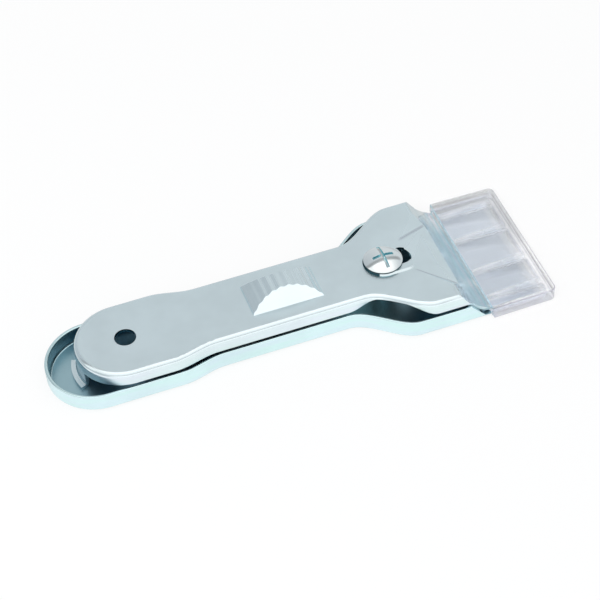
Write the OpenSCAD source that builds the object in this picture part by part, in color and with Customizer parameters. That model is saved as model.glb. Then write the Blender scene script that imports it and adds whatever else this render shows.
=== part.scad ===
// Razor blade scraper with a sliding clamp shell and a clear blade guard.
// X runs from the round tail to the blade, Y across the blade, and Z up from the table.
// Every piece is drawn from the centre of the lower shell's round tail, and then moved so that
// the origin lies on the table, at the middle of the whole length.

/* [Sheet] */
// Thickness of the pressed steel of both shells
sheet = 1.0; // [0.8:0.1:1.1]
// Radius on the edges of the lower skirt's rim
edge_r = 0.4; // [0.2:0.05:0.45]
// Outer radius of the bend between a shell's plate and its skirt
bend_r = 1.6; // [1.4:0.1:2.0]
// Height of the upper plate above the table
stack_h = 10.6; // [10:0.2:12]

/* [Lower shell] */
// Radius of the round tail
lower_tail_r = 14.0; // [13.8:0.1:15]
// Width of the slim handle
lower_neck_w = 23.4; // [22.6:0.2:25]
// Width across the head
lower_head_w = 42.7; // [41.6:0.1:43]
// Height of the skirt above the table
lower_rim_h = 5.8; // [5.2:0.1:6.1]
// Tail centre to the start of the narrowing
lower_taper_x = 21.1; // [18:0.5:24]
// Length of the narrowing
lower_taper_len = 11.8; // [9:0.5:14]
// Tail centre to the start of the flare
lower_flare_x = 69.0; // [64:0.5:70]
// Length of the flare
lower_flare_len = 17.6; // [15:0.5:20]
// Tail centre to the front edge of the jaw
jaw_x = 107.4; // [106:0.2:110]
// Run of the sloping cut that ends the skirt behind the jaw
jaw_cut_run = 4.4; // [3:0.2:6]
// Flat part of the jaw in front of that cut
jaw_flat = 1.6; // [1:0.2:3]

/* [Upper shell] */
// Tail centre of the upper shell, ahead of the lower one
upper_tail_x = 8.0; // [7.8:0.1:9]
// Radius of the round tail
upper_tail_r = 13.3; // [12.5:0.1:13.5]
// Width of the slim handle
upper_neck_w = 22.2; // [21.4:0.2:23]
// Width across the head
upper_head_w = 41.3; // [40:0.1:41.5]
// Depth of the skirt below the top of the plate
skirt_d = 4.0; // [3.4:0.05:4.1]
// Lower tail centre to the start of the narrowing
upper_taper_x = 19.0; // [17:0.5:22]
// Length of the narrowing
upper_taper_len = 12.5; // [10:0.5:15]
// Start of the flare ahead of the lower shell's flare
flare_ahead = 5.1; // [3:0.1:7]
// Length of the flare
upper_flare_len = 18.0; // [15:0.5:20]

/* [Front slope] */
// Reach of the lip ahead of the jaw's front edge
lip_ahead = 0.2; // [0:0.1:0.4]
// Angle of the slope between plate and lip
slope_a = 56; // [52:1:58]
// Outer radius of the bend at the top of the slope
crest_r = 2.2; // [1.6:0.1:2.4]
// Radius of the hollow curve that runs out to the lip
toe_r = 15.5; // [12:0.5:16]
// Angle at which the curve meets the blade
lip_a = 20; // [16:1:24]
// Length of the sunken ramp from the slot to the slope
ramp_len = 8.5; // [8:0.25:10]
// Depth of the ramp where it meets the slope
ramp_d = 3.2; // [2:0.1:3.4]
// Width of the ramp where it starts
ramp_rear_w = 12.4; // [10:0.2:14]
// Width of the ramp's floor where it meets the slope
ramp_front_w = 22.8; // [18:0.2:24]
// Widening of the ramp from its floor to the plate, each side
ramp_bank = 5.2; // [2:0.1:5.6]

/* [Skirt notch at the flare] */
// Height of the notch's top above the skirt's lower edge
notch_h = 2.85; // [1.5:0.05:2.95]
// Full length of the notch at the skirt's lower edge
notch_len = 22.6; // [18:0.2:24]
// Start of the notch behind the start of the flare
notch_back = 4.8; // [3:0.2:6]
// Run of the notch's curved ends
notch_run = 8.4; // [5:0.2:9]

/* [Tail foot] */
// Width of the foot that stands on the lower floor
foot_w = 9.6; // [6:0.2:12]
// Reach of the foot behind the skirt
foot_reach = 1.6; // [1:0.1:1.6]

/* [Thumb rest] */
// Lower tail centre to the middle of the thumb rest
thumb_x = 53.8; // [50:0.2:56]
// Length of the thumb rest
thumb_len = 20.8; // [18:0.2:22]
// Width at the plate
thumb_w = 11.6; // [10:0.2:13]
// Height of the arch
thumb_h = 5.0; // [3.5:0.1:5.5]
// Angle of its side walls above the plate
thumb_wall_a = 58; // [50:1:70]
// Height of the cross ribs
rib_h = 0.3; // [0.2:0.05:0.6]
// Number of cross ribs
rib_count = 10; // [6:1:12]

/* [Slot] */
// Tail centre to the clamp screw
screw_x = 83.6; // [82:0.1:85]
// Travel of the upper shell
travel = 5.2; // [3:0.1:5.2]
// Height of the raised seat round the slot
seat_h = 0.5; // [0.4:0.05:0.9]
// Width of the flat rim round the slot
seat_rim = 2.05; // [1.9:0.05:2.3]

/* [Hanging hole] */
// Radius of the hole in both shells
hang_r = 3.0; // [2:0.1:3.5]
// Tail centre to the hole
hang_x = 8.9; // [7:0.1:10]

/* [Clamp screw] */
// Radius of the shank
shank_r = 2.45; // [2:0.05:2.45]
// Radius of the head
head_r = 5.5; // [5:0.1:6]
// Thickness of the head's rim
head_rim = 0.5; // [0.4:0.1:0.8]
// Rise of the dome above the rim
dome_h = 1.7; // [1.4:0.1:2.1]
// Length of the shank that stands in the post
shank_len = 8.4; // [6:0.2:9]
// Length of the long drive slot
drive_long = 8.4; // [7:0.2:9]
// Length of the short drive slot
drive_short = 6.0; // [5:0.2:7]
// Width of the drive slots
drive_w = 0.9; // [0.7:0.1:1.2]
// Depth of the drive slots below the top of the dome
drive_d = 1.4; // [1:0.1:1.7]

/* [Threaded post] */
// Radius of the post below the plate
post_r = 4.2; // [3.8:0.1:4.4]
// Radius of the neck that guides the slot
neck_r = 3.05; // [2.9:0.05:3.1]
// Height of the chamfer at the foot and the shoulder
post_edge = 0.4; // [0.2:0.1:0.6]

/* [Blade] */
// Length of the cutting edge
blade_w = 39.0; // [38:0.1:39.2]
// Depth of the blade from back to edge
blade_d = 19.0; // [18:0.1:19.2]
// Thickness of the blade
blade_t = 0.25; // [0.2:0.01:0.3]
// Depth of the ground bevel
bevel_d = 1.6; // [1:0.1:2.5]
// Depth of the blade that lies behind the jaw's front edge
blade_hold = 3.1; // [2.8:0.1:3.2]
// Distance between the two locating holes
pip_pitch = 24.0; // [20:0.5:28]
// Radius of the pips that hold the blade
pip_r = 1.0; // [0.8:0.1:1.1]
// Height of the pips above the jaw
pip_h = 0.2; // [0.1:0.05:0.2]

/* [Blade guard] */
// Room at each end of the blade
blade_play = 1.45; // [1.2:0.05:2]
// Amount that the front is narrower than the back, each side
guard_taper = 0.3; // [0:0.05:0.5]
// Length from back to front
guard_len = 19.5; // [19.4:0.1:22]
// Height of the guard
guard_h = 4.0; // [3.8:0.1:4.5]
// Height of its underside above the table
guard_z = 0.1; // [0:0.05:0.2]
// Thickness of the top wall
guard_top = 1.1; // [0.8:0.1:1.2]
// Thickness of the bottom wall
guard_floor = 0.75; // [0.6:0.05:0.75]
// Thickness of the side walls at the back
guard_side = 1.55; // [1.2:0.05:1.6]
// Thickness of the front wall
guard_front = 2.2; // [1.8:0.1:2.3]
// Radius of the front corners
guard_corner = 1.6; // [1:0.1:2]
// Overlap of the guard's top over the lip
guard_lap = 0.5; // [0.3:0.1:0.8]
// Thickness of the inner ribs
guard_rib = 1.1; // [0.8:0.1:1.4]
// Distance between the two inner ribs next to the middle
rib_pitch_inner = 13.0; // [12:0.2:15]
// Distance between the two inner ribs next to the sides
rib_pitch_outer = 34.0; // [32:0.2:36]

/* [Clearances] */
// Gap between faces that rest on each other
rest_gap = 0.05; // [0.02:0.01:0.08]
// Gap round the neck in the slot, and between shank and post
run_gap = 0.05; // [0.02:0.01:0.08]
// Gap between pieces that slide past each other
slide_gap = 0.3; // [0.2:0.05:0.4]
// Gap between the upper slope and the lower skirt, each side
nest_gap = 0.15; // [0.1:0.05:0.3]
// Gap between the guard and what it covers
guard_gap = 0.3; // [0.2:0.05:0.35]
// Gap round a pip in its hole
pip_gap = 0.3; // [0.2:0.05:0.4]

/* [Hidden] */
$fn = 64;
zinc = [0.76, 0.81, 0.83];
steel = [0.62, 0.65, 0.67];
clear_plastic = [0.86, 0.87, 0.95, 0.35];

// Overrun of every cut past the face that it opens
over = 2.0;
// Set-back of the tail tab's faces from the faces of the skirt that it leaves
tab_inset = 0.04;
// Steps of a half tail, an S curve, a bend, a rim edge and a thumb rib
tail_steps = 16;
curve_steps = 12;
bend_steps = 5;
edge_steps = 3;
rib_steps = 6;

upper_flare_x = lower_flare_x + flare_ahead;
lip_x = jaw_x + lip_ahead;
guard_x = lip_x - guard_lap;
guard_end = guard_x + guard_len;
middle_x = (guard_end - lower_tail_r) / 2;
inner_r = bend_r - sheet;
skirt_z = stack_h - skirt_d;
floor_z = sheet;
foot_z = floor_z + rest_gap;
blade_top = floor_z + blade_t;
lip_z = blade_top + rest_gap;
slot_r = neck_r + run_gap + run_gap;
seat_r = slot_r + seat_rim;
wall_shift = sheet * tan(45 / 2);
guard_w = blade_w + 2 * (guard_side + blade_play);
guard_front_w = guard_w - 2 * guard_taper;

// The smooth step and its slope, from 0 to 1
function ease(t) = t * t * (3 - 2 * t);
function ease_slope(t) = 6 * t * (1 - t);

// Points of an S curve from its front end to its rear end, each with its outward normal
function s_curve(x0, y0, len, y1) = [
    for (i = [curve_steps : -1 : 0])
        let (t = i / curve_steps, g = (y1 - y0) / len * ease_slope(t), n = sqrt(1 + g * g))
        [x0 + len * t, y0 + (y1 - y0) * ease(t), -g / n, 1 / n]
];

// Quarter circle of a tail, from the side to the rear point
function tail_arc(x0, r) = [
    for (i = [1 : tail_steps])
        let (a = 90 + 90 * i / tail_steps)
        [x0 + r * cos(a), r * sin(a), cos(a), sin(a)]
];

function half_outline(tail_x, tail_r, neck, taper_x, taper_len, flare_x, flare_len, head, front_x) = concat(
    [[front_x, head, 0, 1]],
    s_curve(flare_x, neck, flare_len, head),
    s_curve(taper_x, tail_r, taper_len, neck),
    [[tail_x, tail_r, 0, 1]],
    tail_arc(tail_x, tail_r)
);

// Whole outline, from the front left corner round the tail to the front right corner
function outline(half) = concat(
    half,
    [for (i = [len(half) - 2 : -1 : 0]) [half[i][0], -half[i][1], half[i][2], -half[i][3]]]
);

function ring(path, inset) = [for (p = path) [p[0] - p[2] * inset, p[1] - p[3] * inset]];

// Quarter bend that starts at a height, as [inset, height] pairs, read upwards or downwards
function bend(r, z0, up) = [
    for (i = [0 : bend_steps])
        let (a = 90 * (up > 0 ? i : bend_steps - i) / bend_steps)
        [bend_r - r * sin(a), z0 + r * (1 - cos(a))]
];

// Rounded edge of the rim on the outside (side 1) or the inside (side -1) of the skirt
function rim_edge(inset, side) = [
    for (i = [0 : edge_steps])
        let (a = 90 * (side > 0 ? i : edge_steps - i) / edge_steps)
        [inset + side * edge_r * (1 - cos(a)), lower_rim_h - edge_r * (1 - sin(a))]
];

function lower_path() = outline(half_outline(
    0, lower_tail_r, lower_neck_w / 2, lower_taper_x, lower_taper_len,
    lower_flare_x, lower_flare_len, lower_head_w / 2, jaw_x + over
));

function upper_path(front_x) = outline(half_outline(
    upper_tail_x, upper_tail_r, upper_neck_w / 2, upper_taper_x, upper_taper_len,
    upper_flare_x, upper_flare_len, upper_head_w / 2, front_x
));

// Solid whose surface follows a path through every [inset, height] pair of a profile.
// The first and the last ring are closed by strips that run across, and the front end by a flat
// face.
module ring_solid(path, profile) {
    n = len(path);
    k = len(profile);
    points = [for (q = profile) for (p = ring(path, q[0])) [p[0], p[1], q[1]]];
    sides = [
        for (j = [0 : k - 2]) for (i = [0 : n - 2])
            for (f = [
                [j * n + i, (j + 1) * n + i, (j + 1) * n + i + 1],
                [j * n + i, (j + 1) * n + i + 1, j * n + i + 1]
            ]) f
    ];
    top = (k - 1) * n;
    middle = floor(n / 2);
    caps = [
        for (i = [0 : middle - 1])
            let (a = n - 1 - i, b = a - 1)
            for (f = i + 1 < b ? [[i, i + 1, b, a], [top + a, top + b, top + i + 1, top + i]]
                               : [[i, i + 1, a], [top + a, top + i + 1, top + i]]) f
    ];
    front = concat([for (j = [0 : k - 1]) j * n + n - 1], [for (j = [k - 1 : -1 : 0]) j * n]);
    polyhedron(points, concat(sides, caps, [front]), convexity = 8);
}

// Profile drawn in X and Z, pushed right across the tool
module across(points, width) {
    rotate([90, 0, 0])
        translate([0, 0, -width / 2])
            linear_extrude(width) polygon(points);
}

// Everything is shown from the middle of the whole length
module placed() {
    translate([-middle_x, 0, 0]) children();
}

// Sloping cut that ends the lower skirt behind the jaw, and the jaw's front edge
module jaw_cut() {
    cut_end = jaw_x - jaw_flat;
    across([
        [cut_end - jaw_cut_run, lower_rim_h],
        [cut_end, floor_z],
        [jaw_x, floor_z],
        [jaw_x, -over],
        [jaw_x + 2 * over, -over],
        [jaw_x + 2 * over, lower_rim_h + over],
        [cut_end - jaw_cut_run, lower_rim_h + over]
    ], lower_head_w + over);
}

module lower_shell() {
    tray = concat(
        bend(bend_r, 0, 1),
        rim_edge(0, 1),
        rim_edge(sheet, -1),
        bend(inner_r, floor_z, -1)
    );
    color(zinc) placed() {
        difference() {
            ring_solid(lower_path(), tray);
            jaw_cut();
            translate([hang_x, 0, -over]) cylinder(r = hang_r, h = floor_z + 2 * over);
            translate([screw_x, 0, -over]) cylinder(r = neck_r + rest_gap, h = floor_z + 2 * over);
        }
        for (side = [-1, 1])
            translate([pip_x(), side * pip_pitch / 2, floor_z / 2])
                cylinder(r = pip_r, h = floor_z / 2 + pip_h, $fn = 32);
    }
}

function pip_x() = jaw_x - blade_hold / 2;

// Filled body of the upper shell at an inset from its outside, open downwards
module upper_block(inset, front_x, z0) {
    r = bend_r - inset;
    rim = [for (i = [bend_steps : -1 : 0])
        let (a = 90 * i / bend_steps) [bend_r - r * sin(a), stack_h - bend_r + r * cos(a)]];
    ring_solid(upper_path(front_x), concat([[inset, z0]], rim));
}

// Side view of what lies under the top skin, or under the sheet when inset is its thickness
function front_profile(inset, z0) =
    let (
        toe_x = lip_x + toe_r * sin(lip_a),
        toe_z = lip_z + sqrt(pow(toe_r + sheet, 2) - pow(toe_r * sin(lip_a), 2)),
        fall = stack_h - toe_z + toe_r * cos(slope_a) - crest_r * (1 - cos(slope_a)),
        crest_x = toe_x - (crest_r + toe_r) * sin(slope_a) - fall / tan(slope_a),
        rc = crest_r - inset,
        rt = toe_r + inset,
        end_a = asin((toe_x - lip_x - over / 2) / rt)
    )
    concat(
        [[-lower_tail_r - over, z0], [-lower_tail_r - over, stack_h - inset + over],
         [crest_x, stack_h - inset + over]],
        [for (i = [0 : bend_steps])
            let (a = slope_a * i / bend_steps)
            [crest_x + rc * sin(a), stack_h - crest_r + rc * cos(a)]],
        [for (i = [0 : curve_steps])
            let (a = slope_a + (end_a - slope_a) * i / curve_steps)
            [toe_x - rt * sin(a), toe_z - rt * cos(a)]],
        [[lip_x + over / 2, z0]]
    );

// Start of the ramp, where the slot's seat ends
function ramp_x() = screw_x + travel + 2 * slot_r / 3;

// Wedge that sinks the ramp, or its underside when it is dropped and widened
module ramp(drop, widen) {
    reach = 2 * ramp_len;
    x0 = ramp_x() - widen;
    x1 = x0 + reach;
    z0 = stack_h - drop;
    z1 = z0 - ramp_d / ramp_len * reach;
    w0 = ramp_rear_w / 2 + widen;
    w1 = w0 + (ramp_front_w - ramp_rear_w) / 2 / ramp_len * reach;
    b1 = w1 + ramp_bank / ramp_len * reach;
    top = stack_h + over;
    polyhedron(
        [[x0, -w0, z0], [x0, w0, z0], [x1, w1, z1], [x1, -w1, z1],
         [x1, b1, z0], [x1, -b1, z0],
         [x0, -w0, top], [x0, w0, top], [x1, b1, top], [x1, -b1, top]],
        [[0, 3, 2, 1], [1, 2, 4], [0, 5, 3], [2, 3, 5, 9, 8, 4],
         [0, 1, 7, 6], [1, 4, 8, 7], [0, 6, 9, 5], [6, 7, 8, 9]]
    );
}

// Arched thumb rest. The inset gives its hollow underside, which has no ribs.
module thumb_arch(inset) {
    chord = thumb_len / 2;
    arch_r = (chord * chord + thumb_h * thumb_h) / (2 * thumb_h);
    centre_z = stack_h + thumb_h - arch_r;
    sink = sheet / 2;
    base_z = stack_h - inset - sink;
    r = arch_r - inset;
    half_a = acos((base_z + sink / 2 - centre_z) / r);
    steps = inset > 0 ? 3 * rib_steps : rib_count * rib_steps;
    side = inset / sin(thumb_wall_a);
    half_w = thumb_w / 2 - side;
    section = [for (i = [0 : steps])
        let (
            a = half_a * (2 * i / steps - 1),
            rib = inset > 0 ? 0 : rib_h * (1 - cos(360 * rib_count * i / steps)) / 2,
            x = thumb_x + r * sin(a),
            z = centre_z + r * cos(a) + rib - (inset > 0 ? 0 : rib_h),
            top_z = max(z, base_z + sink / 4)
        )
        [x, top_z, half_w - (top_z - stack_h) / tan(thumb_wall_a)]];
    base_w = half_w - (base_z - stack_h) / tan(thumb_wall_a);
    points = [for (s = section) for (p = [
        [s[0], -base_w, base_z], [s[0], -s[2], s[1]], [s[0], s[2], s[1]], [s[0], base_w, base_z]
    ]) p];
    strips = [for (i = [0 : steps - 1]) for (j = [0 : 3])
        let (a = 4 * i + j, b = 4 * i + (j + 1) % 4)
        for (f = [[a, b, b + 4], [a, b + 4, a + 4]]) f];
    polyhedron(points, concat(strips, [[3, 2, 1, 0], [for (j = [0 : 3]) 4 * steps + j]]), convexity = 6);
}

// Long round-ended frustum along the slot
module long_round(r_base, r_top, z, h) {
    translate([screw_x, 0, z]) {
        cylinder(r1 = r_base, r2 = r_top, h = h);
        translate([travel, 0, 0]) cylinder(r1 = r_base, r2 = r_top, h = h);
        rotate([90, 0, 90])
            linear_extrude(travel)
                polygon([[-r_base, 0], [r_base, 0], [r_top, h], [-r_top, h]]);
    }
}

// Openings in both sides of the skirt, where the outline flares
module skirt_notch() {
    x0 = upper_flare_x - notch_back;
    x1 = x0 + notch_len;
    rise = [for (i = [0 : curve_steps]) let (t = i / curve_steps) [notch_run * t, notch_h * ease(t)]];
    across(concat(
        [[x1, skirt_z - over], [x0, skirt_z - over]],
        [for (p = rise) [x0 + p[0], skirt_z + p[1]]],
        [for (i = [curve_steps : -1 : 0]) [x1 - rise[i][0], skirt_z + rise[i][1]]]
    ), upper_head_w + over);
}

// All that is trimmed off below the skirt's edge. Below that edge the front slope stays between
// the lower shell's skirts.
module skirt_trim() {
    intersection() {
        across(front_profile(sheet, -over), upper_head_w + over);
        translate([-lower_tail_r - over, -upper_head_w, -over])
            cube([lip_x + lower_tail_r + 3 * over, 2 * upper_head_w, skirt_z + over]);
    }
    for (side = [-1, 1])
        translate([lip_x - upper_head_w / 2, side * upper_head_w - upper_head_w / 2, -over])
            translate([0, side * (lower_head_w / 2 - sheet - nest_gap - upper_head_w / 2), 0])
                cube([upper_head_w, upper_head_w, skirt_z + over]);
}

// Tab that comes down from the tail of the skirt, and its foot that is bent outwards
module tail_foot() {
    half_a = asin(foot_w / 2 / upper_tail_r);
    front_r = upper_tail_r - sheet + tab_inset;
    back_r = upper_tail_r - tab_inset;
    turn_r = back_r + inner_r;
    turn_z = foot_z + sheet + inner_r;
    top_z = stack_h - bend_r;
    under_r = turn_r - front_r;
    inside = [for (i = [0 : bend_steps])
        let (a = 90 * i / bend_steps)
        [turn_r - under_r * cos(a), turn_z - (turn_z - foot_z) * sin(a)]];
    outside = [for (i = [bend_steps : -1 : 0])
        let (a = 90 * i / bend_steps)
        [turn_r - inner_r * cos(a), turn_z - inner_r * sin(a)]];
    end_r = upper_tail_r + foot_reach;
    translate([upper_tail_x, 0, 0])
        rotate([0, 0, 180 - half_a])
            rotate_extrude(angle = 2 * half_a)
                polygon(concat(
                    [[front_r, top_z]], inside,
                    [[end_r, foot_z], [end_r, foot_z + sheet]], outside,
                    [[back_r, top_z]]
                ));
}

module upper_skin() {
    difference() {
        union() {
            difference() {
                union() {
                    intersection() {
                        upper_block(0, lip_x, foot_z);
                        across(front_profile(0, -over), upper_head_w + over);
                    }
                    long_round(seat_r + seat_h, seat_r, stack_h, seat_h);
                }
                ramp(0, 0);
            }
            thumb_arch(0);
        }
        difference() {
            union() {
                intersection() {
                    upper_block(sheet, lip_x + over / 2, foot_z - over);
                    across(front_profile(sheet, -2 * over), upper_head_w + over);
                }
                long_round(seat_r + seat_h - wall_shift, seat_r - wall_shift, stack_h - sheet, seat_h);
            }
            ramp(sheet, wall_shift);
        }
        thumb_arch(sheet);
        skirt_trim();
        skirt_notch();
    }
}

module upper_shell() {
    color(zinc) placed() {
        difference() {
            upper_skin();
            long_round(slot_r, slot_r, stack_h - sheet - over, sheet + seat_h + 2 * over);
            translate([hang_x, 0, stack_h - sheet - over]) cylinder(r = hang_r, h = sheet + 2 * over);
        }
        tail_foot();
    }
}

// Turned post, staked into the floor of the lower shell and threaded for the clamp screw
module threaded_post() {
    reach = screw_x + post_r + travel - ramp_x() + wall_shift;
    shoulder_z = stack_h - sheet - ramp_d / ramp_len * reach - slide_gap;
    neck_z = stack_h + seat_h - 2 * rest_gap;
    color(steel) placed() translate([screw_x, 0, 0])
        rotate_extrude()
            polygon([
                [shank_r + run_gap, 0], [neck_r, 0], [neck_r, floor_z],
                [post_r - post_edge, floor_z], [post_r, floor_z + post_edge],
                [post_r, shoulder_z - post_edge], [post_r - post_edge, shoulder_z],
                [neck_r, shoulder_z], [neck_r, neck_z], [shank_r + run_gap, neck_z]
            ]);
}

// Clamp screw with a low domed head and a combined cross and slot drive
module clamp_screw() {
    seat_z = stack_h + seat_h + rest_gap;
    dome_r = (head_r * head_r + dome_h * dome_h) / (2 * dome_h);
    top_z = seat_z + head_rim + dome_h;
    color(zinc) placed() translate([screw_x, 0, 0])
        difference() {
            union() {
                translate([0, 0, seat_z - shank_len]) cylinder(r = shank_r, h = shank_len + head_rim / 2);
                translate([0, 0, seat_z]) cylinder(r = head_r, h = head_rim);
                intersection() {
                    translate([0, 0, top_z - dome_r]) sphere(r = dome_r);
                    translate([0, 0, seat_z + head_rim / 2]) cylinder(r = head_r, h = head_rim + dome_h);
                }
            }
            for (drive = [[drive_w, drive_long], [drive_short, drive_w]])
                translate([-drive[0] / 2, -drive[1] / 2, top_z - drive_d])
                    cube([drive[0], drive[1], drive_d + over]);
        }
}

// Flat blade with one ground edge and two locating holes
module razor_blade() {
    back_x = jaw_x - blade_hold;
    edge_x = back_x + blade_d;
    color(steel) placed()
        difference() {
            across([
                [back_x, floor_z], [edge_x - bevel_d, floor_z],
                [edge_x, floor_z + blade_t / 2 - blade_t / 8], [edge_x, floor_z + blade_t / 2 + blade_t / 8],
                [edge_x - bevel_d, blade_top], [back_x, blade_top]
            ], blade_w);
            for (side = [-1, 1])
                translate([pip_x(), side * pip_pitch / 2, floor_z - over])
                    cylinder(r = pip_r + pip_gap, h = blade_t + 2 * over, $fn = 32);
        }
}

// Plan of the guard at an inset from its outside, with rounded front corners
module guard_plan(rear_x, front_x, rear_w, front_w, r) {
    square_end = front_x - r;
    polygon([[rear_x, -rear_w / 2], [square_end, -front_w / 2], [square_end, front_w / 2], [rear_x, rear_w / 2]]);
    translate([square_end - r, r - front_w / 2]) square([2 * r, front_w - 2 * r]);
    for (side = [-1, 1])
        translate([square_end, side * (front_w / 2 - r)]) circle(r = r);
}

module blade_guard() {
    top_z = guard_z + guard_h;
    inner_z = guard_z + guard_floor;
    ceiling_z = top_z - guard_top;
    cavity_x = guard_end - guard_front;
    rib_z = blade_top + guard_gap;
    color(clear_plastic) placed() {
        difference() {
            translate([0, 0, guard_z])
                linear_extrude(guard_h)
                    guard_plan(guard_x, guard_end, guard_w, guard_front_w, guard_corner);
            translate([0, 0, inner_z])
                linear_extrude(ceiling_z - inner_z)
                    guard_plan(guard_x - over, cavity_x, guard_w - 2 * guard_side,
                        guard_front_w - 2 * guard_side, guard_corner / 2);
            translate([guard_x - over, -guard_w, guard_z - over])
                cube([over + jaw_x + guard_gap - guard_x, 2 * guard_w, floor_z + guard_gap - guard_z + over]);
        }
        for (pitch = [rib_pitch_inner, rib_pitch_outer]) for (side = [-1, 1])
            translate([lip_x + guard_gap, side * pitch / 2 - guard_rib / 2, rib_z])
                cube([cavity_x - lip_x - guard_gap + guard_front / 2, guard_rib, ceiling_z + guard_top / 2 - rib_z]);
    }
}

lower_shell();
upper_shell();
threaded_post();
clamp_screw();
razor_blade();
blade_guard();
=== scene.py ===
# %% [markdown]
# # A razor blade scraper, dressed piece by piece
# The tool is two pressed steel shells, one over the other. A screw pulls the upper shell down on
# a wide razor blade, and a clear cap covers the blade. The imported solids are the frame of this
# lesson: each piece is loaded in metres, at its place, and every surface is finished from there.
# The first cell loads that frame, with helpers that measure, attach and hide a piece.

import math

import bmesh
import bpy
from mathutils import Matrix, Vector


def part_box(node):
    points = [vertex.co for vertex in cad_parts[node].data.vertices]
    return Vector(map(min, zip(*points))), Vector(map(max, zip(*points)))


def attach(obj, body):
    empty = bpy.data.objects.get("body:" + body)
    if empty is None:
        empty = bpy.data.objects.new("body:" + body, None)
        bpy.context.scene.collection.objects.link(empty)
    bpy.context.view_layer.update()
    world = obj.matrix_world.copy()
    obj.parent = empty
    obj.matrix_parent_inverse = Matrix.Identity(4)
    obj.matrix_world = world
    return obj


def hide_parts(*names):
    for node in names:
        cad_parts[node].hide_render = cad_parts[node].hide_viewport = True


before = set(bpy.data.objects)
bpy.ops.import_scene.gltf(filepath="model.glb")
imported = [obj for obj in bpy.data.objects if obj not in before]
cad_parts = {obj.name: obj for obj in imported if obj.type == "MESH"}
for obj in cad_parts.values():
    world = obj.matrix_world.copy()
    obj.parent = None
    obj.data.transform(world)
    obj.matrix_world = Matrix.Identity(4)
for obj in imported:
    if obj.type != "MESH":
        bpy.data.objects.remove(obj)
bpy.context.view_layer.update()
scene = bpy.context.scene
MM = 0.001


def span(start, end):
    """Two places or distances, turned from millimetres into metres."""
    return start * MM, end * MM


# %% [markdown]
# ## The camera
# The camera could be placed by eye, but then every comparison with the photograph drifts. Here its
# place and its three directions were solved from outlines whose sizes are known: the round tail,
# the two straight handles and the guard. They go straight into the camera's matrix, which keeps
# the slight roll of the photograph. A long lens gives its weak perspective.

# %% Camera
CAMERA_PLACE = Vector((-0.09975, -0.32967, 0.37080))
CAMERA_RIGHT = Vector((0.93908, -0.34080, -0.04461))
CAMERA_UP = Vector((0.27710, 0.67388, 0.68491))
CAMERA_BACK = Vector((-0.20336, -0.65555, 0.72726))
LENS_MM, SENSOR_MM = 108.8, 36.0
NEAREST, FARTHEST = 0.01, 10.0

camera_data = bpy.data.cameras.new("camera")
camera_data.lens, camera_data.sensor_width = LENS_MM, SENSOR_MM
camera_data.clip_start, camera_data.clip_end = NEAREST, FARTHEST
camera = bpy.data.objects.new("camera", camera_data)
scene.collection.objects.link(camera)
turn = Matrix((CAMERA_RIGHT, CAMERA_UP, CAMERA_BACK)).transposed()
camera.matrix_world = Matrix.Translation(CAMERA_PLACE) @ turn.to_4x4()
scene.camera = camera
print("camera height above the table:", round(CAMERA_PLACE.z / MM), "mm")

# %% [markdown]
# ## Writing shader maths as expressions
# A material is a graph of nodes, and maths built by hand from nodes is hard to read. This class
# wraps one socket, so that `0.3 + 0.1 * grain` adds the Math nodes itself. Numbers alone stay in
# Python. Colours are mixed by `blend`, because a Math node turns a colour grey. `rise` and `fade`
# turn a place or a slope into a soft mask, which is what most of the finishes below are made of.


# %% Shader expressions
class Shade:
    def __init__(self, tree, socket=None):
        self.tree = tree
        self.socket = socket

    def node(self, kind, settings, sockets, out=0):
        """Adds a node: its settings first, then the values or the links of its sockets."""
        made = self.tree.nodes.new(kind)
        for key, value in settings.items():
            setattr(made, key, value)
        for key, value in sockets.items():
            if isinstance(value, Shade):
                self.tree.links.new(value.socket, made.inputs[key])
            else:
                made.inputs[key].default_value = value
        return Shade(self.tree, made.outputs[out])

    def _math(self, operation, *values):
        return self.node("ShaderNodeMath", {"operation": operation}, dict(enumerate(values)))

    def __add__(self, other):
        return self._math("ADD", self, other)

    def __radd__(self, other):
        return self._math("ADD", other, self)

    def __sub__(self, other):
        return self._math("SUBTRACT", self, other)

    def __rsub__(self, other):
        return self._math("SUBTRACT", other, self)

    def __mul__(self, other):
        return self._math("MULTIPLY", self, other)

    def __rmul__(self, other):
        return self._math("MULTIPLY", other, self)

    def size(self):
        return self._math("ABSOLUTE", self)

    def at_least(self, other):
        return self._math("MAXIMUM", self, other)

    def at_most(self, other):
        return self._math("MINIMUM", self, other)

    def rise(self, start, end):
        """0 below start, 1 above end, and a smooth climb between them."""
        limits = {"Value": self, "From Min": start, "From Max": end}
        return self.node("ShaderNodeMapRange", {"interpolation_type": "SMOOTHSTEP"}, limits)

    def fade(self, start, end):
        """1 below start, 0 above end, and a smooth fall between them."""
        return 1.0 - self.rise(start, end)

    def blend(self, low, high):
        """The colour low where this value is 0, and high where it is 1."""
        colours = {"Factor": self, 6: low, 7: high}
        return self.node("ShaderNodeMix", {"data_type": "RGBA"}, colours, out=2)


print("shader expressions ready")

# %% [markdown]
# ## Materials and textures that stay on the piece
# Every finish starts from the Principled shader. What is the same all over a surface is typed on
# the shader's own socket, and what changes over it is linked in. Textures could be wrapped on by
# UV maps, but these solids have none. Object coordinates need no map: they are in metres, fixed to
# the piece, and move with it when a joint moves it.


# %% Materials and textures
def new_material(name, fixed):
    """A Principled material. The fixed values go on the shader's own sockets."""
    material = bpy.data.materials.new(name)
    material.use_nodes = True
    shader = material.node_tree.nodes["Principled BSDF"]
    for socket, value in fixed.items():
        shader.inputs[socket].default_value = value
    return material, shader, Shade(material.node_tree)


def feed(shader, links):
    for socket, value in links.items():
        value.tree.links.new(value.socket, shader.inputs[socket])


def place_on_piece(s):
    """The point on the piece in metres, which moves with the piece when a joint moves it."""
    return s.node("ShaderNodeTexCoord", {}, {}, out=3)


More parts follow.
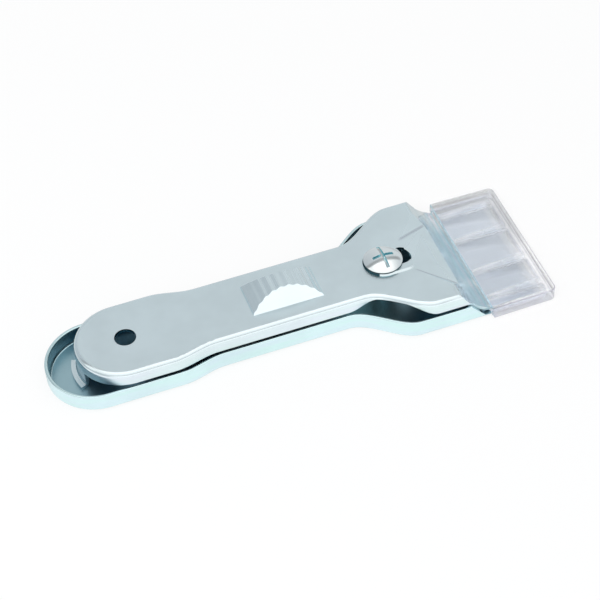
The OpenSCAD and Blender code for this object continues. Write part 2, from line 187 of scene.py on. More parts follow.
def parts_of(vector):
    split = vector.node("ShaderNodeSeparateXYZ", {}, {0: vector}).socket.node
    return [Shade(vector.tree, part) for part in split.outputs]


def levelness(s):
    """1 on a level face, 0 on an upright one."""
    return parts_of(s.node("ShaderNodeNewGeometry", {}, {}, out=1))[2].size()


def noise(where, scale, detail=2.0, rough=0.5):
    sockets = {"Vector": where, "Scale": scale, "Detail": detail, "Roughness": rough}
    return where.node("ShaderNodeTexNoise", {}, sockets)


def streaks(where, scales, detail=2.0):
    """Noise with a scale of its own along each axis, so that its spots draw out into lines."""
    stretched = where.node("ShaderNodeVectorMath", {"operation": "MULTIPLY"}, {0: where, 1: scales})
    return noise(stretched, 1.0, detail)


def bumped(height, strength, distance):
    sockets = {"Height": height, "Strength": strength, "Distance": distance}
    return height.node("ShaderNodeBump", {}, sockets)


def multiplied(colour, other, share=1.0):
    """One colour times another, as far as share says."""
    settings = {"data_type": "RGBA", "blend_type": "MULTIPLY"}
    return colour.node("ShaderNodeMix", settings, {"Factor": share, 6: colour, 7: other}, out=2)


print("helpers ready: materials, places, noise, streaks, bump")

# %% [markdown]
# ## The colour of zinc plate
# Bright zinc is a thin, slightly blue metal coat, and its tint drifts a little from place to
# place. On the upright walls it also shows a faint film of green and pink. One flat colour would
# look like plastic. So two noises move the metal's own colour by a few per cent: a soft cloud all
# over, and a film whose streaks run along the tool, on the walls only.

# %% Zinc colour
CLOUD_SCALE, CLOUD_DETAIL, CLOUD_ROUGH = 60.0, 3.0, 0.6
CLOUD_RISE = (0.3, 0.7)
DARKER_SHARE, PALER_SHARE = 0.96, 1.03
FILM_SCALES, FILM_RISE = (28.0, 90.0, 420.0), (0.35, 0.65)
FILM_GREEN, FILM_PINK = (0.90, 0.965, 0.925, 1.0), (0.955, 0.925, 0.97, 1.0)
FILM_SHARE, FILM_FADE = 0.7, (0.1, 0.8)


def plate_colour(where, cloud, level, colour):
    """The clouded colour of the plate, with its film on the upright walls."""
    darker = tuple(c * DARKER_SHARE for c in colour) + (1.0,)
    paler = tuple(min(1.0, c * PALER_SHARE) for c in colour) + (1.0,)
    skin = cloud.rise(*CLOUD_RISE).blend(darker, paler)
    film = streaks(where, FILM_SCALES).rise(*FILM_RISE).blend(FILM_GREEN, FILM_PINK)
    return multiplied(skin, film, FILM_SHARE * level.fade(*FILM_FADE))


print("zinc drifts by", round(PALER_SHARE - DARKER_SHARE, 2), "of its own colour")

# %% [markdown]
# ## Creases and the front slope
# Two creases run from beside the slot to the front corners of the head, where the press folded
# the sheet over its ramp. The solid has them as edges of a few degrees, too shallow to catch
# light. Deeper grooves would be wrong from the side, so a fine dark line of painted shade in the
# colour draws each. The slope in front of them carries painted reflection: its near half is
# painted darker, its far half brighter, and a bright streak runs down the near half.

# %% Creases and slope
CREASE_X, CREASE_Y, CREASE_SPREAD = 34.6 * MM, 6.2 * MM, 0.612
CREASE_START, CREASE_END = span(-0.5, 1.0), span(44.0, 45.0)
CREASE_LINE, CREASE_SHARE = span(0.1, 0.6), 0.7
# Painted shade: the colour of the dark line along each crease.
CREASE_PAINTED_SHADE = (0.55, 0.60, 0.66, 1.0)
SLOPE_START, BRIGHT_SIDE = span(44.5, 47.5), span(9.0, 17.0)
STREAK_Y, STREAK_LINE, STREAK_SHARE = -10.5 * MM, span(0.5, 3.0), 0.45
WHITE = (1.0, 1.0, 1.0, 1.0)
# Painted reflection on the front slope: darker on its near half, brighter on its far half.
SLOPE_PAINTED_SHADE, SLOPE_PAINTED_SHEEN = (0.85, 0.90, 0.91, 1.0), (1.19, 1.08, 1.04, 1.0)


def slope_and_crease_painted_light(where, skin):
    """The upper shell, with painted reflection on the slope and painted shade in the two creases."""
    x, y, _ = parts_of(where)
    # The slope's tones are painted reflection, and the crease lines are painted shade.
    bright = y.rise(*BRIGHT_SIDE) + STREAK_SHARE * (y - STREAK_Y).size().fade(*STREAK_LINE)
    slope = x.rise(*SLOPE_START).blend(WHITE, bright.blend(SLOPE_PAINTED_SHADE, SLOPE_PAINTED_SHEEN))
    from_start = x - CREASE_X
    off_crease = (y.size() - (CREASE_Y + CREASE_SPREAD * from_start)).size()
    line = off_crease.fade(*CREASE_LINE) * from_start.rise(*CREASE_START) * x.fade(*CREASE_END)
    return (CREASE_SHARE * line).blend(multiplied(skin, slope), CREASE_PAINTED_SHADE)


print("creases run from x =", round(CREASE_X / MM, 1), "to", round(CREASE_END[1] / MM, 1), "mm")

# %% [markdown]
# ## The shaded inside
# Inside the shells, bare zinc mirrors little but more shaded zinc, and looks a deep blue-green.
# Light that bounces in so pale a studio would leave it too bright. So each inner face carries a
# mark, which a later cell writes into the mesh, and marked zinc is painted with a dark shade. The
# open tail gets less painted shade than what the upper shell covers. Where the skirt is notched
# under the head, light comes in from both sides, and the painted shade gives way to a painted
# pale blue glow below the plate.

# %% Inner shade
MARK = "inside"
COVER_INSET, COVER_BLUR, OPEN_SHARE = 3.0 * MM, 4.0 * MM, 0.55
cover_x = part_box("upper_shell")[0].x + COVER_INSET
PLATE_LEVEL = span(9.6, 10.4)
HEAD_START, HEAD_SHARE = span(-10.0, 10.0), 0.25
GLOW_START, GLOW_END = span(10.0, 16.0), span(22.5, 30.0)
# Painted light: the pale blue glow where light comes through the notched skirt.
MOUTH_PAINTED_GLOW = (0.66, 0.95, 1.0, 1.0)


def inner_shade(where, inside, seat=None):
    """How far each inner face gets painted shade, and its colour, or that of the painted glow."""
    x, _, z = parts_of(where)
    below = z.fade(*PLATE_LEVEL)
    mark = where.node("ShaderNodeAttribute", {"attribute_name": MARK}, {}, out=2)
    covered = x.rise(cover_x - COVER_BLUR, cover_x + COVER_BLUR)
    mark = mark * (OPEN_SHARE + (1.0 - OPEN_SHARE) * covered)
    mark = mark * (1.0 - HEAD_SHARE * x.rise(*HEAD_START) * below)
    # Marked faces take painted shade, which turns to the painted glow in the mouth.
    glow = x.rise(*GLOW_START) * x.fade(*GLOW_END) * below
    shade = glow.blend(inside, MOUTH_PAINTED_GLOW)
    if seat:
        shade = below.blend(seat, shade)
    return mark, shade


print("the upper shell covers the lower one from x =", round(cover_x / MM, 1), "mm")

# %% [markdown]
# ## Zinc finishes
# On the rolled flats zinc is satin, with very fine rolling lines along the tool, and on the bends
# the press has polished it. Two materials per shell could say this, but their border would show.
# In one material the roughness falls where the surface turns from flat to wall, which the
# direction of the face tells. The shells, the screw and the post differ only in tint and gloss.

# %% Zinc finishes
ROLLING_SCALES, GRIT_SCALE = (120.0, 2600.0, 2600.0), 2200.0
BEND_RISE, BEND_FADE = (0.05, 0.5), (0.9, 0.995)
ROUGH_BY_LINES, ROUGH_BY_CLOUD, ROUGH_INSIDE = 0.06, 0.05, 0.12
NOISE_MIDDLE, LINES_IN_RELIEF = 0.5, 0.5
RELIEF_STRENGTH, RELIEF_HEIGHT = 0.05, 0.05 * MM


def zinc_plate(name, colour, rough_flat, rough_bend, creased=False, inside=None, seat=None):
    """Plate that is satin on its flats and polished on its bends."""
    material, shader, s = new_material(name, {"Metallic": 1.0})
    where, level = place_on_piece(s), levelness(s)
    cloud = noise(where, CLOUD_SCALE, CLOUD_DETAIL, CLOUD_ROUGH)
    lines, grit = streaks(where, ROLLING_SCALES), noise(where, GRIT_SCALE)
    bend = level.rise(*BEND_RISE) * level.fade(*BEND_FADE)
    rough = rough_flat + (rough_bend - rough_flat) * bend
    rough = rough + (lines - NOISE_MIDDLE) * ROUGH_BY_LINES
    rough = rough + (cloud - NOISE_MIDDLE) * ROUGH_BY_CLOUD
    skin = plate_colour(where, cloud, level, colour)
    if creased:
        skin = slope_and_crease_painted_light(where, skin)
    if inside:
        mark, shade = inner_shade(where, inside, seat)
        skin = mark.blend(skin, shade)
        rough = rough + ROUGH_INSIDE * mark
    relief = bumped(grit + lines * LINES_IN_RELIEF, RELIEF_STRENGTH, RELIEF_HEIGHT)
    feed(shader, {"Base Color": skin, "Roughness": rough, "Normal": relief})
    return material


LOWER_ZINC, UPPER_ZINC, SCREW_ZINC = (0.75, 0.95, 0.97), (0.83, 0.94, 0.97), (0.93, 0.99, 1.0)
# The screw's rim is painted with this dark shade, for the gap under its head.
RIM_PAINTED_SHADE, POST_STEEL = (0.06, 0.09, 0.10), (0.24, 0.36, 0.40)
LOWER_GLOSS = {"rough_flat": 0.30, "rough_bend": 0.18}
UPPER_GLOSS = {"rough_flat": 0.32, "rough_bend": 0.16}
SCREW_GLOSS = {"rough_flat": 0.16, "rough_bend": 0.12}
DULL = {"rough_flat": 0.40, "rough_bend": 0.35}
# Colours of painted shade: inside the shells, beside the seat, and in the screw's drive.
SHELL_SHADE = (0.045, 0.24, 0.36, 1.0)
SEAT_SHADE = (0.03, 0.08, 0.10, 1.0)
DRIVE_SHADE = (0.22, 0.60, 0.68, 1.0)
UPPER_EXTRAS = {"creased": True, "inside": SHELL_SHADE, "seat": SEAT_SHADE}

lower_zinc = zinc_plate("zinc_on_lower_shell", LOWER_ZINC, **LOWER_GLOSS, inside=SHELL_SHADE)
upper_zinc = zinc_plate("zinc_on_upper_shell", UPPER_ZINC, **UPPER_GLOSS, **UPPER_EXTRAS)
screw_zinc = zinc_plate("zinc_on_screw", SCREW_ZINC, **SCREW_GLOSS, inside=DRIVE_SHADE)
rim_painted_shade = zinc_plate("painted_shade_on_screw_rim", RIM_PAINTED_SHADE, **DULL)
post_steel = zinc_plate("dark_post_steel", POST_STEEL, **DULL)
zincs = (lower_zinc, upper_zinc, screw_zinc, rim_painted_shade, post_steel)
print("zinc finishes:", [zinc.name for zinc in zincs])

# %% [markdown]
# ## Blade steel
# A scraper blade is rolled strip steel, darker and smoother than the plate. Its ground edge has
# fine scratches square to the edge. Two materials would need the mesh cut along the grinding. One
# is enough here, because the place along the tool tells where the grinding starts.

# %% Blade steel
BLADE_PLAIN, BLADE_GROUND = (0.76, 0.81, 0.87, 1.0), (0.90, 0.93, 0.96, 1.0)
GRINDING = span(-1.7, -1.5)
BLADE_ROUGH, ROUGH_BY_STAIN, ROUGH_BY_SCRATCH = 0.24, 0.12, 0.1
SCRATCH_SCALES, SCRATCH_DETAIL = (300.0, 9000.0, 300.0), 3.0
SCRATCH_STRENGTH, SCRATCH_HEIGHT = 0.10, 0.03 * MM
STAIN_SCALE, STAIN_DETAIL, STAIN_ROUGH = 90.0, 4.0, 0.6

blade_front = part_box("razor_blade")[1].x
blade_steel, shader, s = new_material("blade_steel", {"Metallic": 1.0})
where = place_on_piece(s)
ground = (parts_of(where)[0] - blade_front).rise(*GRINDING)
scratch = streaks(where, SCRATCH_SCALES, SCRATCH_DETAIL)
stain = noise(where, STAIN_SCALE, STAIN_DETAIL, STAIN_ROUGH)
finish = {
    "Base Color": ground.blend(BLADE_PLAIN, BLADE_GROUND),
    "Roughness": BLADE_ROUGH + ROUGH_BY_STAIN * stain + ground * ROUGH_BY_SCRATCH * scratch,
    "Normal": bumped(scratch, SCRATCH_STRENGTH, SCRATCH_HEIGHT),
}
feed(shader, finish)
print("blade runs to x =", round(blade_front / MM, 2), "mm")

# %% [markdown]
# ## Clear walls of the guard
# The guard is moulded in a clear plastic with a faint lavender tint. Full refraction at the true
# index of such plastic, about 1.5, bends and doubles everything behind its thin walls. So the
# index is lower, and nearly half of the light goes straight through, by Alpha. The tint is almost
# white from the front, and lavender at a slant and on the upright walls, where the light runs a
# long way inside.

# %% Clear walls
CLEAR = {"IOR": 1.30, "Alpha": 0.55, "Transmission Weight": 1.0}
CLEAR_PALE, CLEAR_SLANT = (0.95, 0.965, 0.98, 1.0), (0.86, 0.85, 1.0, 1.0)
CLEAR_WALL = (0.82, 0.85, 1.0, 1.0)
SLANT_BLEND, SLANT_RISE, WALL_FADE = 0.35, (0.45, 0.9), (0.3, 0.9)
CLEAR_ROUGH, ROUGH_BY_HAZE = 0.03, 0.05
HAZE_SCALE, HAZE_DETAIL, HAZE_RISE = 140.0, 3.0, (0.35, 0.75)
RIPPLE_SCALE, RIPPLE_STRENGTH, RIPPLE_HEIGHT = 500.0, 0.04, 0.05 * MM

clear_plastic, shader, s = new_material("clear_guard", CLEAR)
where = place_on_piece(s)
slant = s.node("ShaderNodeLayerWeight", {}, {"Blend": SLANT_BLEND}, out=1)
tint = slant.rise(*SLANT_RISE).blend(CLEAR_PALE, CLEAR_SLANT)
haze = noise(where, HAZE_SCALE, HAZE_DETAIL).rise(*HAZE_RISE)
finish = {
    "Base Color": levelness(s).fade(*WALL_FADE).blend(tint, CLEAR_WALL),
    "Roughness": CLEAR_ROUGH + ROUGH_BY_HAZE * haze,
    "Normal": bumped(noise(where, RIPPLE_SCALE), RIPPLE_STRENGTH, RIPPLE_HEIGHT),
}
feed(shader, finish)
print("clear walls: index", CLEAR["IOR"], "alpha", CLEAR["Alpha"])

# %% [markdown]
# ## Lit edges and ribs of the guard
# A clear moulding gathers light inside its walls and lets it out at its edges. Tracing that light
# takes very many samples, so that light is painted into the colour of the edges and the ribs,
# which have materials of their own. An edge is half clear, in painted streaks of white and
# lavender light. It has a painted dark violet shade along the front and the two ends, where it
# stands against the ground, and a painted pale blue reflection at the rear, where it lies on the
# plate. A rib has painted white light at its rear end, under the edge that lights it, which fades
# away towards the front.

# %% Lit edges and ribs
LIT_EDGE = {"IOR": 1.30, "Alpha": 0.75, "Transmission Weight": 0.5}
EDGE_SCALES, EDGE_RISE = (150.0, 60.0, 150.0), (0.35, 0.65)
EDGE_ROUGH, ROUGH_BY_STREAK = 0.12, 0.1
LAVENDER = (0.80, 0.82, 0.90, 1.0)
EDGE_PAINTED_SHADE, REAR_PAINTED_REFLECTION = (0.14, 0.12, 0.22, 1.0), (0.48, 0.82, 0.94, 1.0)
FRONT_LINE, END_LINE, REAR_LINE, END_SHARE = span(0.5, 1.2), span(0.3, 0.8), span(0.3, 1.0), 0.6
LIT_RIB = {"IOR": 1.30, "Roughness": 0.35}
RIB_PALE, RIB_CLEAR_SHARE = (0.88, 0.90, 0.96, 1.0), 0.8
RIB_PALING, RIB_CLEARING = span(0.0, 10.0), span(3.0, 12.0)

guard_rear, guard_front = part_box("blade_guard")
clear_edge, shader, s = new_material("lit_edge_of_guard", LIT_EDGE)
where = place_on_piece(s)
x, y, _ = parts_of(where)
streak = streaks(where, EDGE_SCALES)
front_line = (guard_front.x - x).fade(*FRONT_LINE)
end_line = (guard_front.y - y.size()).fade(*END_LINE)
rear_line = (x - guard_rear.x).fade(*REAR_LINE)
# Painted light in streaks, a painted blue reflection at the rear, and painted shade at front and ends.
inner = rear_line.blend(streak.rise(*EDGE_RISE).blend(LAVENDER, WHITE), REAR_PAINTED_REFLECTION)
outer = front_line.at_least(END_SHARE * end_line).blend(inner, EDGE_PAINTED_SHADE)
feed(shader, {"Base Color": outer, "Roughness": EDGE_ROUGH + ROUGH_BY_STREAK * streak})

lit_rib, shader, s = new_material("lit_rib_of_guard", LIT_RIB)
# Painted light along each rib, white at the rear and fading towards the front.
from_rear = parts_of(place_on_piece(s))[0] - guard_rear.x
rib_colour = from_rear.rise(*RIB_PALING).blend(WHITE, RIB_PALE)
rib_alpha = 1.0 - RIB_CLEAR_SHARE * from_rear.rise(*RIB_CLEARING)
feed(shader, {"Base Color": rib_colour, "Alpha": rib_alpha})
print("guard runs from x =", round(guard_rear.x / MM, 1), "to", round(guard_front.x / MM, 1), "mm")

# %% [markdown]
# ## Smooth pieces from faceted solids
# The solids of both shells are made of flat facets. Under a gloss, every facet would show as a
# band. The mesh could be subdivided, but that rounds the sheet's sharp cut edges too. Instead a
# copy of the solid is welded, and its edges are shaded smooth where the sheet turns by less than
# a given angle. Either its normals are then weighted by face area, so that the large flats stay
# flat and only the bends turn, or its sharp edges get a small round.

# %% Smooth copies of the solids
WELD_DISTANCE, SLIVER_LENGTH, FLAT_DEG = 0.002 * MM, 0.0001 * MM, 0.4
ROUND_STEPS, FULL_WEIGHT = 2, 100
LOWER_SHARP_DEG, UPPER_SHARP_DEG, ROUNDED_SHARP_DEG = 35.0, 24.0, 30.0


def weld(mesh, sharp_deg):
    """Joins the facets into one skin, smooth wherever it turns by less than sharp_deg."""
    skin = bmesh.new()
    skin.from_mesh(mesh)
    bmesh.ops.remove_doubles(skin, verts=skin.verts, dist=WELD_DISTANCE)
    bmesh.ops.dissolve_degenerate(skin, edges=skin.edges, dist=SLIVER_LENGTH)
    flat = math.radians(FLAT_DEG)
    bmesh.ops.dissolve_limit(skin, angle_limit=flat, verts=skin.verts, edges=skin.edges)
    for face in skin.faces:
        face.smooth = True
    for edge in skin.edges:
        edge.smooth = edge.is_manifold and edge.calc_face_angle(0.0) < math.radians(sharp_deg)
    skin.to_mesh(mesh)
    skin.free()


def keep_flats_flat(piece):
    weighted = piece.modifiers.new("flat_faces_stay_flat", "WEIGHTED_NORMAL")
    weighted.keep_sharp = True
    weighted.weight = FULL_WEIGHT


def round_edges(piece, sharp_deg, round_mm, edge_material):
    """Rounds the sharp edges, and gives the rounds a material of their own where one is given."""
    rounds = piece.modifiers.new("rounded_edges", "BEVEL")
    rounds.width = round_mm * MM
    rounds.segments = ROUND_STEPS
    rounds.limit_method = "ANGLE"
    rounds.angle_limit = math.radians(sharp_deg)
    if edge_material:
        piece.data.materials.append(edge_material)
        rounds.material = 1
    for edge in piece.data.edges:
        edge.use_edge_sharp = False


print("facets merge under", FLAT_DEG, "degrees, and rounds have", ROUND_STEPS, "steps")

# %% [markdown]
# ## The two pressings
# Each dressed piece is a copy that stands in its solid's place and rides on its body, so that it
# moves with its joint. One function makes them all. The two pressings are the first: they keep
# their cut edges sharp, and the upper shell's angle is smaller, so that the low edges of what is
# pressed into it stay crisp.


# %% Pressings
def smooth_copy(node, name, material, body, sharp_deg, round_mm=0.0, edge_material=None):
    """A dressed copy of one solid, which takes its place and rides on its body."""
    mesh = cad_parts[node].data.copy()
    mesh.name = name
    if mesh.attributes.get("custom_normal"):
        mesh.attributes.remove(mesh.attributes["custom_normal"])
    weld(mesh, sharp_deg)
    mesh.materials.clear()
    mesh.materials.append(material)
    piece = bpy.data.objects.new(name, mesh)
    scene.collection.objects.link(piece)
    if round_mm:
        round_edges(piece, sharp_deg, round_mm, edge_material)
    else:
        keep_flats_flat(piece)
    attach(piece, body)
    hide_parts(node)
    return piece


lower = smooth_copy("lower_shell", "lower_pressing", lower_zinc, "base", LOWER_SHARP_DEG)
upper = smooth_copy("upper_shell", "upper_pressing", upper_zinc, "clamp", UPPER_SHARP_DEG)
print("pressings:", len(lower.data.polygons), "and", len(upper.data.polygons), "faces")

# %% [markdown]
# ## Marks on the inner faces
# The zinc finish paints shade on the faces that carry a mark. The marks could be painted by hand,
# but a rule follows the shape: a face is an inner one if it looks down, or towards the tool's
# middle line or the centre of its round tail. The floor of the lower shell and the bend around it
# catch more light than its walls, so they get less painted shade. On the upper shell, the side of
# the raised seat is marked beside the screw too, for a painted dark gap under the screw's head,
# and so is the foot of the tail wall, which stands in the shade of the lower rim.

# %% Marks on the inner faces
screw_axis = sum(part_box("clamp_screw"), Vector()) / 2
rim_z, seat_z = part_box("lower_shell")[1].z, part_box("threaded_post")[1].z
LOWER_TAIL_LENGTH, UPPER_TAIL_LENGTH = 14.0 * MM, 14.9 * MM
lower_tail_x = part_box("lower_shell")[0].x + LOWER_TAIL_LENGTH
upper_tail_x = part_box("upper_shell")[0].x + UPPER_TAIL_LENGTH
TURNED_IN, TURNED_DOWN, LOOKS_UP, LEVEL = -0.25, -0.3, 0.3, 0.9
FLOOR_DEPTH, FLOOR_BEND_DEPTH, TAIL_DEPTH = 0.7, 0.5, 0.72
FLOOR_BEND_TOP, RIM_BAND, RIM_SHADE = 4.0 * MM, 0.4 * MM, 0.5 * MM
SEAT_REACH, SEAT_DROP = 8.0 * MM, 0.6 * MM
WALL_SLANT, INNER_WALL_SLANT, SEAT_TURN = 0.4, 0.05, -0.35


def looks_inward(face, tail_x):
    """Whether a face looks towards the tool's middle line, or the centre of its round tail."""
    outward = Vector((min(face.center.x - tail_x, 0.0), face.center.y, 0.0)).normalized()
    return outward.dot(face.normal) < TURNED_IN


def depth(face):
    """How far an inner face is shaded."""
    if face.normal.z > LEVEL:
        return FLOOR_DEPTH
    on_floor_bend = face.normal.z > LOOKS_UP and face.center.z < FLOOR_BEND_TOP
    return FLOOR_BEND_DEPTH if on_floor_bend else 1.0


def lower_mark(face, corner):
    inner = looks_inward(face, lower_tail_x) or face.normal.z > LOOKS_UP
    return depth(face) * float(inner and face.center.z < rim_z - RIM_BAND)


def upper_mark(face, corner):
    normal, inward = face.normal, looks_inward(face, upper_tail_x)
    by_screw = abs(face.center.x - screw_axis.x) < SEAT_REACH and face.center.z > seat_z - SEAT_DROP
    inner = normal.z < TURNED_DOWN or (inward and normal.z < INNER_WALL_SLANT)
    inner = inner or (by_screw and normal.x < SEAT_TURN)
    tail_wall = face.center.x < upper_tail_x and not inward and abs(normal.z) < WALL_SLANT
    sunk = tail_wall and corner.z < rim_z + RIM_SHADE
    return max(depth(face) * float(inner), TAIL_DEPTH * float(sunk))


print("the rim of the lower shell is at z =", round(rim_z / MM, 2), "mm")

# %% [markdown]
# ## Writing the marks
# A mark is one number on each corner of each face, in an attribute that the zinc finish reads by
# name. A number on each vertex would bleed round the sharp edges. A number on each face would
# give the tail wall no soft border, and its corners have one: those above the rim stay bare.


# %% Write the marks
def write_marks(piece, rule):
    """Writes the rule's value on every corner of every face, and returns the mean."""
    mesh = piece.data
    marks = mesh.attributes.new(MARK, "FLOAT", "CORNER")
    for face in mesh.polygons:
        for corner, vertex in zip(face.loop_indices, face.vertices):
            marks.data[corner].value = rule(face, mesh.vertices[vertex].co)
    return sum(mark.value for mark in marks.data) / len(marks.data)


shares = [write_marks(lower, lower_mark), write_marks(upper, upper_mark)]
print("share of inner faces:", [round(share, 2) for share in shares])

# %% [markdown]
# ## Screw, post and blade
# The turned pieces are smooth already. The screw gets a small round on its sharp edges, since
# no real edge is perfectly sharp, and such rounds carry the highlights that make metal read as
# metal. The walls of its drive are marked for painted shade like the inside of a shell, and its
# rim, which looks down on the seat, is painted with a dark shade for the gap under the head. The
# post and the blade keep their solids, with a new finish.

# %% Screw, post and blade
DRIVE_RADIUS, DRIVE_DEPTH = 4.5 * MM, 0.6
SCREW_ROUND_MM, RIM_PLACE = 0.08, 1


def in_drive(face):
    return (face.center.xy - screw_axis.xy).length < DRIVE_RADIUS


def drive_mark(face, corner):
    return DRIVE_DEPTH * float(face.normal.z < LOOKS_UP and in_drive(face))


screw = smooth_copy("clamp_screw", "dome_screw", screw_zinc, "screw", ROUNDED_SHARP_DEG, SCREW_ROUND_MM)
# The rim's faces take the painted dark shade of the gap under the head.
screw.data.materials.append(rim_painted_shade)
for face in screw.data.polygons:
    if face.normal.z < LOOKS_UP and not in_drive(face):
        face.material_index = RIM_PLACE
drive_share = write_marks(screw, drive_mark)
for node, steel in (("threaded_post", post_steel), ("razor_blade", blade_steel)):
    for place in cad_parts[node].material_slots:
        place.material = steel
print("screw:", len(screw.data.polygons), "faces, mean mark", round(drive_share, 2))

# %% [markdown]
# ## Guard
# The cap is one moulding with ribs inside. Modelled with sharp edges it would look cut from
# sheet, so its copy gets rounded edges, which carry the painted light of the lit edge material.
# The hollow corners where the ribs grow out of the walls get a fillet, as in any mould, and
# those and the sides of the ribs get the painted light of the lit rib material.

# %% Guard
GUARD_ROUND_MM, RIB_PLACE = 0.22, 2
FILLET = {"offset": 1.0 * MM, "segments": 3, "profile": 0.5, "affect": "EDGES"}
ALONG, SIDEWAYS = 0.99, 0.7
END_WALL, END_WALL_FACE = 3.0 * MM, 2.5 * MM
ROOT_LOWEST, ROOT_BELOW_TOP = 2.0 * MM, 0.6 * MM


def is_rib_root(edge):
    """Whether an edge is a hollow corner that runs along the tool, under the top, off the ends."""
    start, end = (vertex.co for vertex in edge.verts)
    middle = (start + end) / 2
    runs_along = abs((end - start).normalized().x) > ALONG
    under_top = ROOT_LOWEST < middle.z < guard_front.z - ROOT_BELOW_TOP
    off_ends = abs(middle.y) < guard_front.y - END_WALL
    return runs_along and edge.is_manifold and not edge.is_convex and under_top and off_ends


edge_look = {"round_mm": GUARD_ROUND_MM, "edge_material": clear_edge}
guard = smooth_copy("blade_guard", "clear_cap", clear_plastic, "guard", ROUNDED_SHARP_DEG, **edge_look)
guard.data.materials.append(lit_rib)
cap = bmesh.new()
cap.from_mesh(guard.data)
roots = [edge for edge in cap.edges if is_rib_root(edge)]
bmesh.ops.bevel(cap, geom=roots, material=RIB_PLACE, **FILLET)
for face in cap.faces:
    off_ends = abs(face.calc_center_median().y) < guard_front.y - END_WALL_FACE
    if abs(face.normal.y) > SIDEWAYS and off_ends:
        face.material_index = RIB_PLACE
    face.smooth = True
cap.to_mesh(guard.data)
cap.free()
print("guard:", len(guard.data.polygons), "faces,", len(roots), "rib roots")

# %% [markdown]
# ## Floor
# The photograph has a white ground. A brighter lamp would make one, but would wash out the metal.
# So the floor is a pale card, and mixes in a plain white glow where the camera sees it, directly,
# in the metal or through the cap. The card's own share keeps the object's shadow. In the metal,
# the floor is white only in front of the tool. Behind it the floor is grey, and gives the front
# slope, which mirrors it, a darker tone.

# %% Floor
FLOOR_HALF, FLOOR_DROP = 3.0, 0.02 * MM
FLOOR_CARD = {"Base Color": (0.90, 0.90, 0.90, 1.0), "Roughness": 0.9, "Specular IOR Level": 0.0}
GLOW_SHARE, BACK_GREY, BACK_START = 0.72, (0.53, 0.55, 0.56, 1.0), span(-4.0, 10.0)


def ray_kinds(s, *names):
    """For each named kind of ray, a value of 1 on such rays and 0 on all others."""
    outputs = s.node("ShaderNodeLightPath", {}, {}).socket.node.outputs
    return [Shade(s.tree, outputs[name]) for name in names]


floor_mesh = bpy.data.meshes.new("floor")
corners = [(FLOOR_HALF * x, FLOOR_HALF * y, 0) for x, y in ((-1, -1), (1, -1), (1, 1), (-1, 1))]
floor_mesh.from_pydata(corners, [], [(0, 1, 2, 3)])
floor = bpy.data.objects.new("floor", floor_mesh)
floor.location.z = -FLOOR_DROP
scene.collection.objects.link(floor)

pale_floor, shader, s = new_material("pale_floor", FLOOR_CARD)
direct, mirrored, through = ray_kinds(s, "Is Camera Ray", "Is Glossy Ray", "Is Transmission Ray")
glowing = GLOW_SHARE * (direct + mirrored + through).at_most(1.0)
behind = parts_of(place_on_piece(s))[1].rise(*BACK_START)
colour = (mirrored * behind).blend(WHITE, BACK_GREY)
glow = s.node("ShaderNodeEmission", {}, {"Color": colour, "Strength": 1.0})
mixed = s.node("ShaderNodeMixShader", {}, {0: glowing, 1: Shade(s.tree, shader.outputs[0]), 2: glow})
s.tree.links.new(mixed.socket, s.tree.nodes["Material Output"].inputs[0])
floor_mesh.materials.append(pale_floor)
print("floor:", 2 * FLOOR_HALF, "m wide")

# %% [markdown]
# ## The studio around the tool
# Polished metal shows what stands around it, so the room matters more than the lamps. Real walls
# and cards would do, but they would stand in the way of the other views. Here the world itself is
# the studio: its colour depends on the direction that a ray leaves in, across, away from the
# camera's side, and up. This cell makes the grey back wall, which the flat of the plate mirrors.
# It is darker at the left, and low down at the right, where the front slope mirrors it.

# %% Back wall
world = bpy.data.worlds.new("studio")
world.use_nodes = True
scene.world = world
world.node_tree.nodes.clear()
s = Shade(world.node_tree)
across, away, height = parts_of(s.node("ShaderNodeTexCoord", {}, {}, out=0))
towards, leftwards = 0.0 - away, 0.0 - across

BACK_LEFT, BACK_RIGHT = (0.48, 0.51, 0.54, 1.0), (0.64, 0.67, 0.69, 1.0)
LOW_RIGHT = (0.45, 0.48, 0.50, 1.0)
BACK_RISE, LOW_RIGHT_RISE, LOW_RIGHT_FADE = (-0.8, 0.5), (0.32, 0.55), (0.02, 0.16)
back_wall = across.rise(*BACK_RISE).blend(BACK_LEFT, BACK_RIGHT)
back_wall = (across.rise(*LOW_RIGHT_RISE) * height.fade(*LOW_RIGHT_FADE)).blend(back_wall, LOW_RIGHT)
print("back wall: grey", BACK_LEFT[0], "to", BACK_RIGHT[0])

# %% [markdown]
# ## Front of the studio
# The side behind the camera is near white, and the near bends and the screw's dome mirror it as
# bright lines. One even white would flatten the metal, so four areas differ. A brighter card
# stands low in front, for the face of the thumb rest, and the ceiling is as bright. A grey band
# above the card keeps the plate from going white when it is seen from behind. The wall low at the
# left is grey too, for the bend of the round tail.

# %% Front of the studio
FRONT, CARD = (0.97, 0.97, 0.97, 1.0), (1.22, 1.20, 1.20, 1.0)
CARD_TOWARDS, CARD_FOOT, CARD_TOP = (0.05, 0.35), (0.05, 0.25), (0.31, 0.40)
CEILING, CEILING_RISE = (1.18, 1.17, 1.17, 1.0), (0.82, 0.93)
BAND, BAND_TOWARDS = (0.56, 0.59, 0.61, 1.0), (0.0, 0.2)
BAND_FOOT, BAND_TOP = (0.32, 0.40), (0.48, 0.62)
LEFT_WALL, LEFT_RISE, LEFT_TOP = (0.50, 0.54, 0.56, 1.0), (0.5, 0.85), (0.2, 0.5)

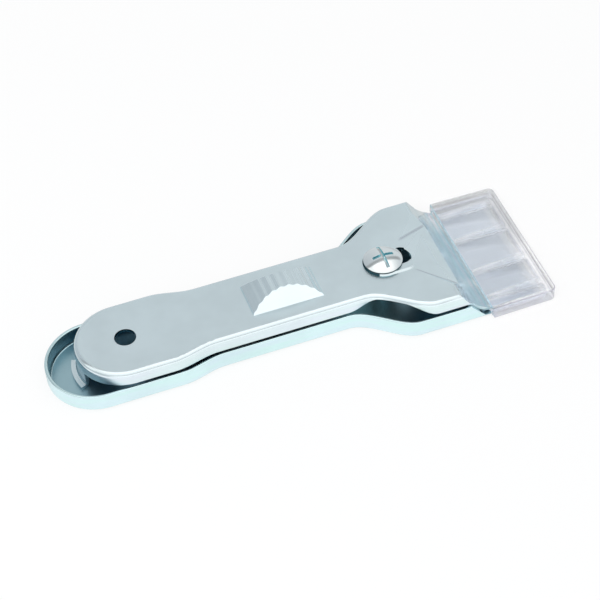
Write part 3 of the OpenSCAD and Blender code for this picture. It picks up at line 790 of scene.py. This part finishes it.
card = towards.rise(*CARD_TOWARDS) * height.rise(*CARD_FOOT) * height.fade(*CARD_TOP)
band = height.rise(*BAND_FOOT) * height.fade(*BAND_TOP) * towards.rise(*BAND_TOWARDS)
left_wall = leftwards.rise(*LEFT_RISE) * height.fade(*LEFT_TOP)
front = card.blend(FRONT, CARD)
for mask, colour in ((height.rise(*CEILING_RISE), CEILING), (band, BAND), (left_wall, LEFT_WALL)):
    front = mask.blend(front, colour)
print("front: white", FRONT[0], "card", CARD[0], "ceiling", CEILING[0], "band", BAND[0])

# %% [markdown]
# ## The whole world
# The back wall takes over from the front where a ray leads away or far to the right. A dark flag
# hangs between that wall and the ceiling. The near bends mirror it where they begin to turn, as a
# thin dark line beside their bright one. The camera and the rays through the cap see plain white
# instead of all this, so that the background is white with no more light on the object.

# %% World
WALL_AWAY, WALL_RIGHT = (0.22, 0.46), (0.45, 0.85)
FLAG, FLAG_FOOT = (0.33, 0.34, 0.35, 1.0), (0.3, 0.5)
FLAG_START, FLAG_END = (0.26, 0.34), (0.44, 0.52)

studio = away.rise(*WALL_AWAY).at_least(across.rise(*WALL_RIGHT)).blend(front, back_wall)
flag = away.rise(*FLAG_START) * away.fade(*FLAG_END) * height.rise(*FLAG_FOOT)
direct, through = ray_kinds(s, "Is Camera Ray", "Is Transmission Ray")
shown = (direct + through).blend(flag.blend(studio, FLAG), WHITE)
background = s.node("ShaderNodeBackground", {}, {"Color": shown, "Strength": 1.0})
output = world.node_tree.nodes.new("ShaderNodeOutputWorld")
world.node_tree.links.new(background.socket, output.inputs["Surface"])
print("world nodes:", len(world.node_tree.nodes))

# %% [markdown]
# ## Lamp
# The studio gives most of the light, but from all sides, so that it casts hardly a shadow. One
# wide softbox from the front left adds a soft shadow, which sets the tool on the floor. A small
# lamp would draw a hard one. The softbox doesn't show in the metal, where its bright square would
# break the even walls of the studio.

# %% Lamp
KEY_PLACE, KEY_SIDE, KEY_WATTS = Vector((-0.5, -0.5, 0.9)), 0.6, 5.0

key_data = bpy.data.lights.new("key", "AREA")
key_data.shape = "RECTANGLE"
key_data.size, key_data.size_y = KEY_SIDE, KEY_SIDE
key_data.energy = KEY_WATTS
key = bpy.data.objects.new("key", key_data)
key.location = KEY_PLACE
key.rotation_mode = "QUATERNION"
key.rotation_quaternion = (-KEY_PLACE).to_track_quat("-Z", "Y")
key.visible_glossy = False
scene.collection.objects.link(key)
scene.view_settings.view_transform = "Standard"
print("lamp:", KEY_WATTS, "W at", round(KEY_PLACE.length, 2), "m")
